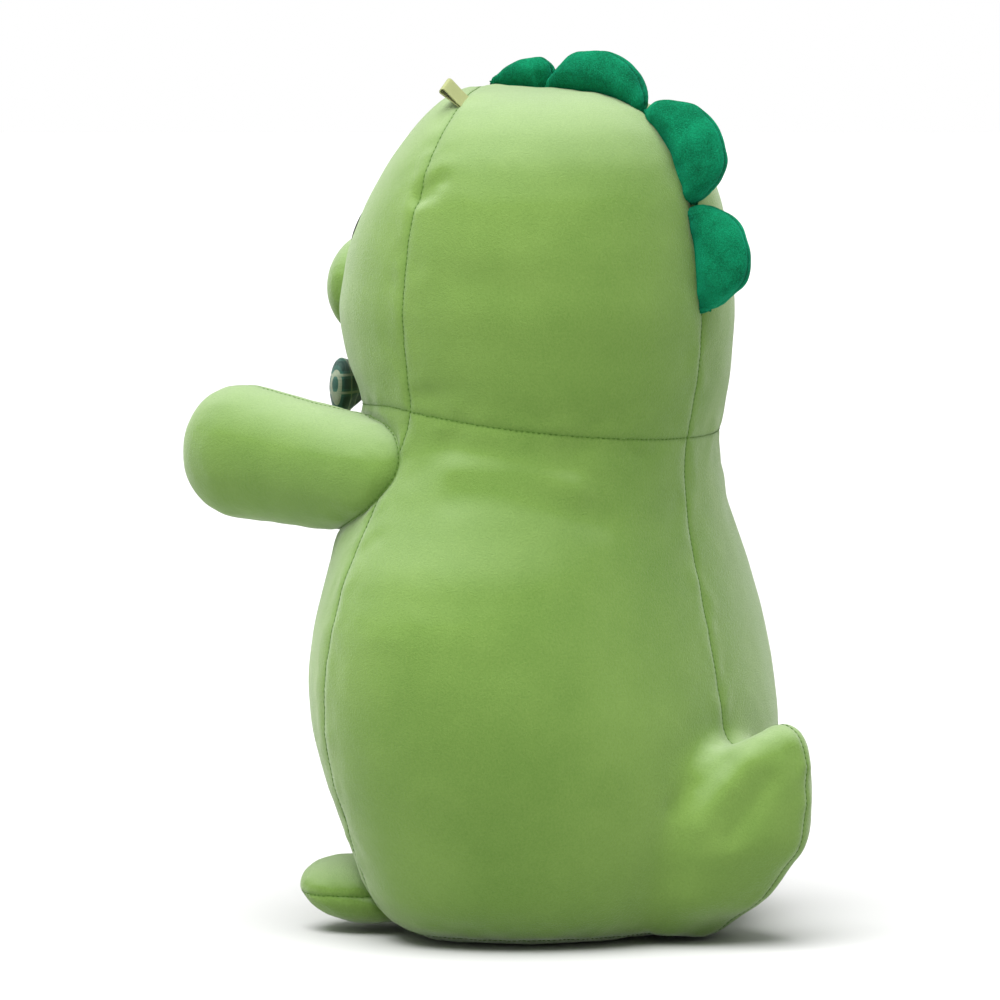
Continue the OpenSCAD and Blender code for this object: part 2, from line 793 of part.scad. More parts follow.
foot_cover(-1, false);  // foot_right_sole
foot_stuffing(-1);  // foot_right_stuffing
spike_cover(0, 1);  // spike_1_left
spike_cover(0, -1);  // spike_1_right
spike_stuffing(0);  // spike_1_stuffing
spike_cover(1, 1);  // spike_2_left
spike_cover(1, -1);  // spike_2_right
spike_stuffing(1);  // spike_2_stuffing
spike_cover(2, 1);  // spike_3_left
spike_cover(2, -1);  // spike_3_right
spike_stuffing(2);  // spike_3_stuffing
spike_cover(3, 1);  // spike_4_left
spike_cover(3, -1);  // spike_4_right
spike_stuffing(3);  // spike_4_stuffing
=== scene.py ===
# Seated plush dinosaur: sewn minky panels, velvet crest, plaid bow and ribbon loop,
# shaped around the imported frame. Metres, +Z up, the dinosaur faces -Y.
import json
import math

import bmesh
import bpy
import numpy as np
from mathutils import Matrix, Vector, noise
from mathutils.bvhtree import BVHTree


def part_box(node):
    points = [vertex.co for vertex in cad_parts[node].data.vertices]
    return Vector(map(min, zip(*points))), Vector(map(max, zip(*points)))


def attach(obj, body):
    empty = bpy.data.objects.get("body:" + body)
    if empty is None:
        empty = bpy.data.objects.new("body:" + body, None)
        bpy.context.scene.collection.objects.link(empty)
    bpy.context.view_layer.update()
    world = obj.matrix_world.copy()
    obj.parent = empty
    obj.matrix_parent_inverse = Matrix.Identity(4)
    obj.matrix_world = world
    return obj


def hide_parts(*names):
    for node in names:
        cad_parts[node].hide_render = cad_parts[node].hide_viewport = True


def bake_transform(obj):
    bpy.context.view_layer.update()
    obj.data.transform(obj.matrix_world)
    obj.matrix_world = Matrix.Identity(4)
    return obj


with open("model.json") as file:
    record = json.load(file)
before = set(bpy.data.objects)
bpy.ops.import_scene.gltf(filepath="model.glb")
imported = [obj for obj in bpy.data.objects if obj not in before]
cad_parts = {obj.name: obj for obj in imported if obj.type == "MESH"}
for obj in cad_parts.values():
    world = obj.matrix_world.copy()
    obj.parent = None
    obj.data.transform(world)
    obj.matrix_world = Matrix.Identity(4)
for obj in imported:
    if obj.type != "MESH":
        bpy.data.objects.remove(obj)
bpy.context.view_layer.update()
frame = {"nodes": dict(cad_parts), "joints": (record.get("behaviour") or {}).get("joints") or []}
NODES = frame["nodes"]
MM = 0.001

# Where the camera stands, in degrees and metres, and where it aims from the middle
VIEW = (124, 4)
VIEW_DISTANCE = 3.0
FOCAL_LENGTH = 214.7
AIM_HEIGHT = 0.225
AIM_SHIFT = (-20.6 * MM, -10.2 * MM)

# Suns: azimuth and elevation in degrees, power, and softness in degrees
SUNS = {"overhead_bank": (95, 73, 5.2, 55), "front_fill": (30, 40, 0.2, 90)}
# Brightness of the room from the horizon up to overhead
ROOM_LIGHT = ((0.035, 1.0), (0.08, 0.24), (0.5, 0.3), (0.8, 1.0))
FLOOR_HALF = 60

# Fabric thickness
PLUSH_T = 1.4 * MM
VELVET_T = 0.8 * MM

# Seams: how deep and how wide each pulls the fabric in, and the gathers beside it
TRUNK_SEAM = (1.3 * MM, 3.6 * MM, 0.7 * MM)
ARM_SEAM = (0.9 * MM, 2.6 * MM, 0.5 * MM)
FOOT_SEAM = (1.2 * MM, 2.6 * MM, 0.6 * MM)
SPIKE_SEAM = (1.1 * MM, 1.5 * MM, 0.4 * MM)
STITCH_LIFT = 0.15 * MM

# Height of the base panel's seam, and where the tail takes over from it
BASE_SEAM_Z = 3 * MM
TAIL_START_Y = 85 * MM
# How far the neck seam sinks towards the throat, and over which stretch
THROAT_DROP = 7 * MM
THROAT_START_Y, THROAT_RUN = -20 * MM, 60 * MM

# How far the snout's back sinks into the face, and how far a sole tucks back per metre down
SNOUT_SINK = 6 * MM
SOLE_TUCK = 0.7


# ---- camera, light and floor ----------------------------------------------------

def joint_named(name):
    return next(j for j in frame["joints"] if j["name"] == name)


def compass(azimuth, elevation):
    """The direction from the object towards a viewer."""
    a, e = math.radians(azimuth), math.radians(elevation)
    return Vector((math.sin(a) * math.cos(e), -math.cos(a) * math.cos(e), math.sin(e)))


def make_camera():
    away = compass(*VIEW)
    right = Vector((0, 0, 1)).cross(away).normalized()
    up = away.cross(right)
    data = bpy.data.cameras.new("studio_camera")
    data.lens, data.sensor_width = FOCAL_LENGTH, 36
    data.clip_end = 50
    camera = bpy.data.objects.new("studio_camera", data)
    bpy.context.scene.collection.objects.link(camera)
    target = Vector((0, 0, AIM_HEIGHT)) + right * AIM_SHIFT[0] + up * AIM_SHIFT[1]
    turn = Matrix((right, up, away)).transposed().to_4x4()
    camera.matrix_world = Matrix.Translation(target + away * VIEW_DISTANCE) @ turn
    bpy.context.scene.camera = camera


def add_sun(name, azimuth, elevation, power, softness):
    data = bpy.data.lights.new(name, "SUN")
    data.energy, data.angle = power, math.radians(softness)
    lamp = bpy.data.objects.new(name, data)
    bpy.context.scene.collection.objects.link(lamp)
    lamp.rotation_euler = compass(azimuth, elevation).to_track_quat("Z", "Y").to_euler()


def make_studio():
    """A white room: bright at the horizon and overhead, dimmer between, over a pale floor."""
    scene = bpy.context.scene
    scene.view_settings.view_transform = "Standard"
    world = bpy.data.worlds.new("studio")
    scene.world = world
    world.use_nodes = True
    nodes, links = world.node_tree.nodes, world.node_tree.links
    place = nodes.new("ShaderNodeTexCoord")
    split = nodes.new("ShaderNodeSeparateXYZ")
    ramp = nodes.new("ShaderNodeValToRGB")
    links.new(place.outputs["Generated"], split.inputs[0])
    links.new(split.outputs["Z"], ramp.inputs[0])
    links.new(ramp.outputs[0], nodes["Background"].inputs["Color"])
    stops = ramp.color_ramp.elements
    for spot, light in ROOM_LIGHT:
        stop = stops.new(spot)
        stop.color = (light, light, light, 1)
    stops[0].color = (1, 1, 1, 1)
    stops[len(stops) - 1].color = (1, 1, 1, 1)
    for name, sun in SUNS.items():
        add_sun(name, *sun)
    size = FLOOR_HALF
    floor = new_object("floor", [(-size, -size, 0), (size, -size, 0), (size, size, 0),
                                 (-size, size, 0)], [(0, 1, 2, 3)])
    floor.data.materials.append(floor_material())


# ---- shader arithmetic -------------------------------------------------------------

class Value:
    """A shader socket that takes part in ordinary arithmetic."""

    def __init__(self, tree, socket):
        self.tree, self.socket = tree, socket

    def maths(self, operation, first, second=None):
        node = self.tree.nodes.new("ShaderNodeMath")
        node.operation = operation
        for i, item in enumerate((first, second)):
            if isinstance(item, Value):
                self.tree.links.new(item.socket, node.inputs[i])
            elif item is not None:
                node.inputs[i].default_value = item
        return Value(self.tree, node.outputs[0])

    def __add__(self, other):
        return self.maths("ADD", self, other)

    def __radd__(self, other):
        return self.maths("ADD", other, self)

    def __sub__(self, other):
        return self.maths("SUBTRACT", self, other)

    def __rsub__(self, other):
        return self.maths("SUBTRACT", other, self)

    def __mul__(self, other):
        return self.maths("MULTIPLY", self, other)

    def __rmul__(self, other):
        return self.maths("MULTIPLY", other, self)

    def above(self, limit):
        return self.maths("GREATER_THAN", self, limit)

    def sine(self):
        return self.maths("SINE", self)

    def exp(self):
        return self.maths("EXPONENT", self)

    def clamped(self):
        return self.maths("MINIMUM", self.maths("MAXIMUM", self, 0.0), 1.0)


class Cloth_material:
    """A material whose nodes are made by one method."""

    def __init__(self, name):
        self.material = bpy.data.materials.new(name)
        self.material.use_nodes = True
        self.tree = self.material.node_tree
        self.surface = self.tree.nodes["Principled BSDF"]

    def node(self, kind, settings=None, sockets=None, output=0):
        made = self.tree.nodes.new(kind)
        for name, value in (settings or {}).items():
            setattr(made, name, value)
        for name, value in (sockets or {}).items():
            if isinstance(value, Value):
                self.tree.links.new(value.socket, made.inputs[name])
            else:
                made.inputs[name].default_value = value
        return Value(self.tree, made.outputs[output])

    def place(self):
        return self.node("ShaderNodeTexCoord", output="Object")

    def axis(self, vector, letter):
        return self.node("ShaderNodeSeparateXYZ", sockets={"Vector": vector}, output=letter)

    def attribute(self, name):
        return self.node("ShaderNodeAttribute", {"attribute_name": name}, output="Fac")

    def grain(self, vector, scale, detail=2.0, rough=0.5):
        return self.node("ShaderNodeTexNoise", sockets={
            "Vector": vector, "Scale": scale, "Detail": detail, "Roughness": rough})

    def mix(self, share, first, second):
        made = self.tree.nodes.new("ShaderNodeMix")
        made.data_type = "RGBA"
        for socket, value in ((made.inputs[0], share), (made.inputs[6], first),
                              (made.inputs[7], second)):
            if isinstance(value, Value):
                self.tree.links.new(value.socket, socket)
            else:
                socket.default_value = (*value, 1) if isinstance(value, tuple) else value
        return Value(self.tree, made.outputs[2])

    def bump(self, height, strength, distance):
        return self.node("ShaderNodeBump", sockets={
            "Height": height, "Strength": strength, "Distance": distance}, output="Normal")

    def finish(self, **sockets):
        for name, value in sockets.items():
            socket = self.surface.inputs[name.replace("_", " ")]
            if isinstance(value, Value):
                self.tree.links.new(value.socket, socket)
            else:
                socket.default_value = (*value, 1) if isinstance(value, tuple) else value
        return self.material


def floor_material():
    m = Cloth_material("studio_floor")
    return m.finish(Base_Color=(0.56, 0.56, 0.56), Roughness=0.9, Specular_IOR_Level=0.1)


def minky_material():
    """Short-pile plush: brushed patches, a fine nap and a pale sheen, with painted light on
    upward faces and painted shade along the seams.
    """
    m = Cloth_material("green_minky")
    place = m.place()
    patches = m.grain(place, 7.0, 3.0, 0.55)
    brushed = m.grain(place, 38.0, 2.0, 0.6)
    nap = m.grain(place, 900.0, 2.0, 0.7)
    fibre = m.grain(place, 2600.0, 1.0, 0.5)
    seam = m.attribute("seam")
    tone = (patches - 0.5) * 1.1 + (brushed - 0.5) * 0.45 + (nap - 0.5) * 0.8 + 0.5
    colour = m.mix(tone.clamped(), (0.100, 0.200, 0.030), (0.182, 0.300, 0.064))
    # Painted light: fabric facing upwards is mixed towards a pale colour, as if lit from above.
    upright = m.axis(m.node("ShaderNodeNewGeometry", output="Normal"), "Z")
    painted_top_light = (upright * 1.15 - 0.35).clamped() * 0.5
    colour = m.mix(painted_top_light, colour, (0.44, 0.53, 0.36))
    # Painted shade: the fabric darkens towards each seam, where the groove lies in shade.
    painted_seam_shade = (seam * -1300.0).exp() * 0.5
    colour = m.mix(painted_seam_shade.clamped(), colour, (0.050, 0.13, 0.010))
    height = nap * 0.9 + fibre * 0.6 + brushed * 0.6
    return m.finish(
        Base_Color=colour, Roughness=0.85, Specular_IOR_Level=0.2,
        Sheen_Weight=0.5, Sheen_Roughness=0.42, Sheen_Tint=(0.9, 0.96, 0.84),
        Normal=m.bump(height, 0.5, 0.0008))


def velvet_material():
    """The crest's velvet: a deep green short pile with painted highlight specks on its fibre tips
    and painted shade along its seams.
    """
    m = Cloth_material("emerald_velvet")
    place = m.place()
    patches = m.grain(place, 55.0, 3.0, 0.6)
    nap = m.grain(place, 1300.0, 2.0, 0.75)
    tips = m.grain(place, 3200.0, 1.0, 0.5)
    seam = m.attribute("seam")
    tone = ((patches - 0.5) * 1.9 + (nap - 0.5) * 1.9 + 0.45).clamped()
    colour = m.mix(tone, (0.0015, 0.080, 0.030), (0.005, 0.25, 0.110))
    # Painted highlight: bright specks on the fibre tips, mixed into the colour.
    glint = ((tips - 0.6) * 9.0).clamped() * 0.6
    colour = m.mix(glint, colour, (0.02, 0.36, 0.19))
    # Painted shade: the velvet darkens towards each seam, where the groove lies in shade.
    colour = m.mix(((seam * -1100.0).exp() * 0.7).clamped(), colour, (0.002, 0.06, 0.028))
    return m.finish(
        Base_Color=colour, Roughness=0.85, Specular_IOR_Level=0.04,
        Sheen_Weight=0.35, Sheen_Roughness=0.35, Sheen_Tint=(0.03, 0.9, 0.55),
        Normal=m.bump(nap * 0.9 + tips * 0.7 + patches * 0.5, 0.8, 0.0009))


def plaid_material():
    """Woven teal plaid with pale lines, on the bow's own pattern."""
    m = Cloth_material("plaid_cotton")
    place = m.place()
    across, up = m.axis(place, "X"), m.axis(place, "Z")
    weave = m.node("ShaderNodeTexWave", {"bands_direction": "DIAGONAL"}, {
        "Vector": place, "Scale": 420.0, "Distortion": 0.4})

    def bands(line, pitch, width, shift=0.0):
        """1 on stripes of a width, once every pitch."""
        turn = 2 * math.pi / pitch
        return ((line + shift) * turn).sine().above(math.cos(math.pi * width / pitch))

    pitch = 9 * MM
    wide = (bands(across, pitch, 5 * MM) + bands(up, pitch, 5 * MM)) * 0.5
    fine = (bands(across, pitch, 1.3 * MM, pitch / 2)
            + bands(up, pitch, 1.3 * MM, pitch / 2)).clamped()
    colour = m.mix(wide, (0.03, 0.13, 0.10), (0.006, 0.045, 0.036))
    colour = m.mix(fine * 0.6, colour, (0.46, 0.47, 0.33))
    colour = m.mix(weave * 0.22, colour, (0.10, 0.16, 0.13))
    return m.finish(Base_Color=colour, Roughness=0.8, Sheen_Weight=0.2,
                    Normal=m.bump(weave, 0.3, 0.0003))


def satin_material():
    """Olive satin ribbon with its fine cross threads."""
    m = Cloth_material("olive_satin")
    place = m.place()
    threads = m.node("ShaderNodeTexWave", {"bands_direction": "Z"}, {
        "Vector": place, "Scale": 700.0, "Distortion": 0.6})
    worn = m.grain(place, 160.0, 2.0)
    colour = m.mix(threads * 0.5 + worn * 0.4, (0.22, 0.25, 0.075), (0.40, 0.43, 0.17))
    return m.finish(Base_Color=colour, Roughness=0.38, Sheen_Weight=0.25,
                    Normal=m.bump(threads, 0.35, 0.0002))


def thread_material(name, dark, light):
    """Twisted sewing or embroidery thread."""
    m = Cloth_material(name)
    place = m.place()
    twist = m.node("ShaderNodeTexWave", {"bands_direction": "DIAGONAL"}, {
        "Vector": place, "Scale": 520.0, "Distortion": 1.2})
    colour = m.mix(twist, dark, light)
    return m.finish(Base_Color=colour, Roughness=0.75, Specular_IOR_Level=0.15,
                    Normal=m.bump(twist, 0.5, 0.0003))


# ---- meshes -----------------------------------------------------------------------

def new_object(name, verts, faces, edges=()):
    mesh = bpy.data.meshes.new(name)
    mesh.from_pydata([tuple(v) for v in verts], [tuple(e) for e in edges],
                     [tuple(f) for f in faces])
    obj = bpy.data.objects.new(name, mesh)
    bpy.context.scene.collection.objects.link(obj)
    return obj


def drop(obj):
    mesh = obj.data
    bpy.data.objects.remove(obj)
    bpy.data.meshes.remove(mesh)


def points(obj):
    flat = np.empty(len(obj.data.vertices) * 3, np.float32)
    obj.data.vertices.foreach_get("co", flat)
    return flat.reshape(-1, 3).astype(np.float64)


def set_points(obj, co):
    obj.data.vertices.foreach_set("co", np.ascontiguousarray(co, np.float32).ravel())
    obj.data.update()


def normals(obj):
    flat = np.empty(len(obj.data.vertices) * 3, np.float32)
    obj.data.vertex_normals.foreach_get("vector", flat)
    return flat.reshape(-1, 3).astype(np.float64)


def dressed(obj, material):
    """Smooth shading and one material."""
    for p in obj.data.polygons:
        p.use_smooth = True
    obj.data.materials.clear()
    obj.data.materials.append(material)


def joined(name, nodes, extra=()):
    """One object with merged copies of CAD nodes and of other meshes."""
    bm = bmesh.new()
    for mesh in [NODES[n].data for n in nodes] + [o.data for o in extra]:
        bm.from_mesh(mesh)
    bmesh.ops.remove_doubles(bm, verts=bm.verts, dist=1e-6)
    mesh = bpy.data.meshes.new(name)
    bm.to_mesh(mesh)
    bm.free()
    obj = bpy.data.objects.new(name, mesh)
    bpy.context.scene.collection.objects.link(obj)
    return obj


def applied(obj):
    """The object with its modifiers worked into its mesh."""
    made = bpy.data.meshes.new_from_object(
        obj.evaluated_get(bpy.context.evaluated_depsgraph_get()))
    old = obj.data
    obj.modifiers.clear()
    obj.data = made
    bpy.data.meshes.remove(old)
    return obj


def largest_part(obj):
    """Keeps only the part of the mesh that spans the most room."""
    bm = bmesh.new()
    bm.from_mesh(obj.data)
    seen, parts = set(), []
    for start in bm.verts:
        if start in seen:
            continue
        seen.add(start)
        part, queue = [], [start]
        while queue:
            v = queue.pop()
            part.append(v)
            for e in v.link_edges:
                w = e.other_vert(v)
                if w not in seen:
                    seen.add(w)
                    queue.append(w)
        parts.append(part)
    parts.sort(key=len)
    for part in parts[:-1]:
        bmesh.ops.delete(bm, geom=part, context="VERTS")
    bm.to_mesh(obj.data)
    bm.free()


def remeshed(obj, size):
    mod = obj.modifiers.new("even", "REMESH")
    mod.mode, mod.voxel_size, mod.use_smooth_shade = "VOXEL", size, True
    applied(obj)
    largest_part(obj)
    return obj


def edge_pairs(obj):
    flat = np.empty(len(obj.data.edges) * 2, np.int32)
    obj.data.edges.foreach_get("vertices", flat)
    return flat.reshape(-1, 2)


def relaxed(obj, repeat):
    """Evens out the surface, and then swells it by as much as that shrank it."""
    co, pairs = points(obj), edge_pairs(obj)
    count = np.bincount(pairs.ravel(), minlength=len(co))
    for _ in range(repeat):
        for share in (0.5, -0.53):
            total = np.empty_like(co)
            for axis in range(3):
                total[:, axis] = (
                    np.bincount(pairs[:, 0], co[pairs[:, 1], axis], len(co))
                    + np.bincount(pairs[:, 1], co[pairs[:, 0], axis], len(co)))
            co += (total / count[:, None] - co) * share
    set_points(obj, co)
    return obj


def subdivided(obj, levels=1):
    mod = obj.modifiers.new("fine", "SUBSURF")
    mod.levels = mod.render_levels = levels
    return applied(obj)


def inflated(obj, pressure, cap, held=None, frames=18):
    """Cloth under the pressure of its stuffing; held vertices stay where they are."""
    rest = points(obj)
    fabric = obj.modifiers.new("fabric", "CLOTH")
    cloth = fabric.settings
    cloth.quality = 6
    cloth.mass = 0.3
    cloth.tension_stiffness = cloth.compression_stiffness = 18
    cloth.shear_stiffness = 8
    cloth.bending_stiffness = 1.2
    cloth.use_pressure = True
    cloth.uniform_pressure_force = pressure
    cloth.effector_weights.gravity = 0
    if held is not None:
        group = obj.vertex_groups.new(name="seams")
        for share in (0.5, 1.0):
            group.add([int(i) for i in np.nonzero(held >= share)[0]], share, "REPLACE")
        cloth.vertex_group_mass = "seams"
    fabric.point_cache.frame_end = frames + 2
    for step in range(1, frames + 1):
        bpy.context.scene.frame_set(step)
    applied(obj)
    bpy.context.scene.frame_set(1)
    moved = points(obj) - rest
    far = np.linalg.norm(moved, axis=1, keepdims=True)
    set_points(obj, rest + moved * np.minimum(1, cap / np.maximum(far, 1e-9)))
    return obj


def tree_of(obj):
    return BVHTree.FromPolygons(
        [v.co[:] for v in obj.data.vertices], [p.vertices[:] for p in obj.data.polygons])


def distances(co, tree, reach):
    """Signed distance of each point to a closed surface, positive outside, out to reach."""
    out = np.full(len(co), reach)
    for i, p in enumerate(co):
        spot, normal, _, far = tree.find_nearest(Vector(p), reach)
        if spot is not None:
            out[i] = math.copysign(far, (Vector(p) - spot).dot(normal))
    return out


def wobble(co, size, seed):
    """Smooth noise from -1 to 1, with lumps of a size."""
    shift = Vector((seed * 7.31, seed * 3.17, seed * 5.77))
    return np.array([noise.noise(Vector(p) / size + shift) for p in co])


# ---- the trunk: head, body and tail -------------------------------------------------

class Trunk_shape:
    """Seam lines and outlines of the head and body, measured on the frame."""

    def __init__(self):
        down = [p for p in NODES["head_stuffing"].data.polygons if p.normal.z < -0.9]
        self.neck_normal = -sum((p.normal * p.area for p in down), Vector()).normalized()
        middle = sum((p.center * p.area for p in down), Vector()) / sum(p.area for p in down)
        self.neck_point = middle
        self.face_line = self.shared_edge("face_panel", "head_panel_left", 0)
        self.belly_line = self.shared_edge("belly_panel", "side_panel_left", 2)

    def shared_edge(self, first, second, key):
        """Outer points that two panels share, as (position along the key axis, y)."""
        spots = []
        for node in (first, second):
            spots.append({tuple(round(c, 5) for c in v.co) for v in NODES[node].data.vertices})
        both = sorted(spots[0] & spots[1], key=lambda p: p[key])
        return np.array([(p[key], p[1]) for p in both])

    def neck(self, co):
        """Height above the neck seam, which sinks towards the throat."""
        n = np.array(self.neck_normal)
        throat = np.clip((THROAT_START_Y - co[:, 1]) / THROAT_RUN, 0, 1)
        drop = THROAT_DROP * throat ** 2 * (3 - 2 * throat)
        return (co - np.array(self.neck_point)) @ n + drop

    def face(self, co):
        """Distance behind the face seam."""
        return co[:, 1] - smooth_interp(np.abs(co[:, 0]), self.face_line, 6 * MM)

    def belly(self, co):
        """Distance behind the belly seam."""
        return co[:, 1] - smooth_interp(co[:, 2], self.belly_line, 10 * MM)

    def seams(self, co):
        """Distance to the nearest seam between two panels of the head or the body."""
        neck, face, belly = self.neck(co), self.face(co), self.belly(co)
        upper = neck > 0
        behind = np.where(upper, face, belly)
        back = np.where(behind > 0, np.abs(co[:, 0]), 1.0)
        base = np.where(co[:, 1] < TAIL_START_Y, np.abs(co[:, 2] - BASE_SEAM_Z), 1.0)
        return np.minimum.reduce([np.abs(neck), np.abs(behind), back, base])


def smooth_interp(x, line, width):
    """Interpolates a measured line, averaged over a width."""
    total = 0
    shifts = np.linspace(-1, 1, 7) * width
    for shift in shifts:
        total = total + np.interp(x + shift, line[:, 0], line[:, 1])
    return total / len(shifts)


def first_hit(tree, start, way):
    """Where a ray meets the surface, tried again a hair higher if it slips between faces."""
    for lift in np.linspace(0, 1 * MM, 9):
        spot = tree.ray_cast(Vector(start) + Vector((0.3 * lift, 0.2 * lift, lift)), Vector(way))
        if spot[0] is not None:
            return spot[0]


def body_outline():
    """[z, half width, front, back] of the body at many heights, clear of the tail and arms."""
    tree = tree_of(joined("body_copy", ["side_panel_left", "side_panel_right", "belly_panel"]))
    drop(bpy.data.objects["body_copy"])
    rows, share = [], 0.75
    low, high = 2 * MM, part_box("side_panel_left")[1].z - 17 * MM
    for z in np.linspace(low, high, 44):
        wide = first_hit(tree, (1, 0, z), (-1, 0, 0)).x
        front = first_hit(tree, (0, -1, z), (0, 1, 0)).y
        side = first_hit(tree, (wide * share, 1, z), (0, -1, 0)).y
        rows.append((z, wide, front, side / math.sqrt(1 - share * share)))
    return rows


def body_solid():
    """The body without the rooms for the arms and feet, closed above the neck."""
    rows = body_outline()
    z, wide, front, back = rows[-1]
    rows.append((z + 34 * MM, wide * 0.93, front * 0.93, back * 0.93))
    z, wide, front, back = rows[0]
    rows.insert(0, (0.2 * MM, wide * 0.985, front * 0.985, back * 0.985))
    count = 96
    verts = []
    for z, wide, front, back in rows:
        for j in range(count):
            a = 2 * math.pi * j / count
            y = back * math.cos(a) if math.cos(a) > 0 else -front * math.cos(a)
            verts.append((wide * math.sin(a), y, z))
    faces = [(i * count + j, i * count + (j + 1) % count, (i + 1) * count + (j + 1) % count,
              (i + 1) * count + j) for i in range(len(rows) - 1) for j in range(count)]
    faces = [f[::-1] for f in faces]
    faces.append(tuple(range(count)))
    faces.append(tuple(range((len(rows) - 1) * count, len(rows) * count))[::-1])
    return new_object("body_solid", verts, faces)


def trunk_skin(shape):
    """One smooth closed surface of head, body and tail, with the seams held in."""
    solid = body_solid()
    skin = joined("trunk", ["face_panel", "head_panel_left", "head_panel_right",
                            "head_stuffing", "side_panel_left", "side_panel_right",
                            "tail_stuffing"], [solid])
    drop(solid)
    remeshed(skin, 5 * MM)
    relaxed(skin, 30)
    co = points(skin)
    seams = shape.seams(co)
    held = np.exp(-(seams / (7 * MM)) ** 2)
    held = np.where(held > 0.55, 1.0, 0.0)
    floor = co[:, 2] < 5 * MM
    held[floor] = 1.0
    set_points(skin, co - normals(skin) * (1 - held[:, None]) * 0.6 * MM)
    inflated(skin, 2.2, 5 * MM, held)
    relaxed(skin, 4)
    subdivided(skin)
    return skin


def refine(bm, distance, width):
    """Halves the edges of the faces that lie within a width of a seam."""
    co = np.array([v.co[:] for v in bm.verts])
    near = distance(co) < width
    bm.verts.index_update()
    edges = [e for e in bm.edges if near[e.verts[0].index] or near[e.verts[1].index]]
    bmesh.ops.subdivide_edges(bm, edges=edges, cuts=1, use_grid_fill=True, smooth=0.0)


def cut_seam(bm, signed, inside):
    """Cuts the faces along the line where signed is 0, where inside is true."""
    bm.verts.ensure_lookup_table()
    bm.verts.index_update()
    co = np.array([v.co[:] for v in bm.verts])
    s, ok = signed(co), inside(co)
    snap = 0.3 * MM
    on = {v for v in bm.verts if abs(s[v.index]) < snap and ok[v.index]}
    crossing = []
    for e in bm.edges:
        a, b = e.verts
        if a in on or b in on or not (ok[a.index] or ok[b.index]):
            continue
        if s[a.index] * s[b.index] < 0:
            crossing.append((e, a, s[a.index] / (s[a.index] - s[b.index])))
    for e, a, t in crossing:
        on.add(bmesh.utils.edge_split(e, a, t)[1])
    bmesh.ops.connect_verts(bm, verts=list(on), check_degenerate=True)


def seam_edges(bm, label):
    """Edges between faces of two different labels."""
    return [e for e in bm.edges if len(e.link_faces) == 2
            and label[e.link_faces[0]] != label[e.link_faces[1]]]


PANELS = ["face_panel", "head_panel_left", "head_panel_right", "belly_panel",
          "side_panel_left", "side_panel_right", "base_panel"]


FILLED = {"head_panel_left": ["head_stuffing"], "belly_panel": ["body_stuffing"],
          "side_panel_left": ["tail_stuffing"]}


def panel_of(shape, co):
    """The number in PANELS of the panel that each point lies on."""
    upper = shape.neck(co) > 0
    left = co[:, 0] > 0
    head = np.where(shape.face(co) < 0, 0, np.where(left, 1, 2))
    body = np.where(shape.belly(co) < 0, 3, np.where(left, 4, 5))
    body = np.where((co[:, 2] < BASE_SEAM_Z) & (co[:, 1] < TAIL_START_Y), 6, body)
    return np.where(upper, head, body)


def groove(co, normal, distance, depth, width, pucker):
    """Draws the surface in along a seam, with small gathers beside it."""
    pull = depth * np.exp(-distance / width)
    close = distance < 26 * MM
    lumps = np.zeros(len(co))
    lumps[close] = wobble(co[close], 11 * MM, 1)
    pull = pull + pucker * lumps * np.exp(-((distance - 5 * MM) / (9 * MM)) ** 2)
    return co - normal * pull[:, None]


def finish_skin(obj, material, thickness=PLUSH_T):
    """Gives a cut panel the thickness of its fabric, inwards."""
    dressed(obj, material)
    mod = obj.modifiers.new("fabric", "SOLIDIFY")
    mod.thickness, mod.offset, mod.use_rim = thickness, -1, True
    mod.use_even_offset = False
    applied(obj)
    obj.data.set_sharp_from_angle(angle=math.radians(55))
    return obj


def split_panels(bm, names, label):
    """A new object for each label, from a copy of the mesh without the other faces."""
    made = []
    for k, name in enumerate(names):
        part = bm.copy()
        part.faces.ensure_lookup_table()
        gone = [part.faces[f.index] for f in bm.faces if label[f] != k]
        bmesh.ops.delete(part, geom=gone, context="FACES")
        mesh = bpy.data.meshes.new(name)
        part.to_mesh(mesh)
        part.free()
        obj = bpy.data.objects.new(name, mesh)
        bpy.context.scene.collection.objects.link(obj)
        made.append(obj)
    return made


def sew_panels(skin, names, distance, cuts, panel, seam, limbs=()):
    """Refines, cuts, creases and splits a closed skin into named panels.
    Returns the panels and the seam lines as point pairs."""
    bm = bmesh.new()
    bm.from_mesh(skin.data)
    refine(bm, distance, 8 * MM)
    for signed, inside in cuts:
        cut_seam(bm, signed, inside)
    bm.to_mesh(skin.data)
    bm.free()
    co, out = points(skin), normals(skin)
    d = distance(co)
    for tree in limbs:
        d = np.minimum(d, np.abs(distances(co, tree, 40 * MM)))
    co = groove(crease(co, out), out, d, *seam)
    co = co + out * (wobble(co, 75 * MM, 3) * 0.9 * MM)[:, None] * soft_floor(co)[:, None]
    store = skin.data.attributes.new("seam", "FLOAT", "POINT")
    store.data.foreach_set("value", d.astype(np.float32))
    flat_centres = np.empty(len(skin.data.polygons) * 3, np.float32)
    skin.data.polygons.foreach_get("center", flat_centres)
    which = panel(flat_centres.reshape(-1, 3).astype(np.float64))
    set_points(skin, co)
    bm = bmesh.new()
    bm.from_mesh(skin.data)
    bm.faces.ensure_lookup_table()
    bm.faces.index_update()
    label = {f: int(which[f.index]) for f in bm.faces}
    lines = [tuple((v.co.copy(), v.normal.copy()) for v in e.verts)
             for e in seam_edges(bm, label)]
    made = split_panels(bm, names, label)
    bm.free()
    return made, lines


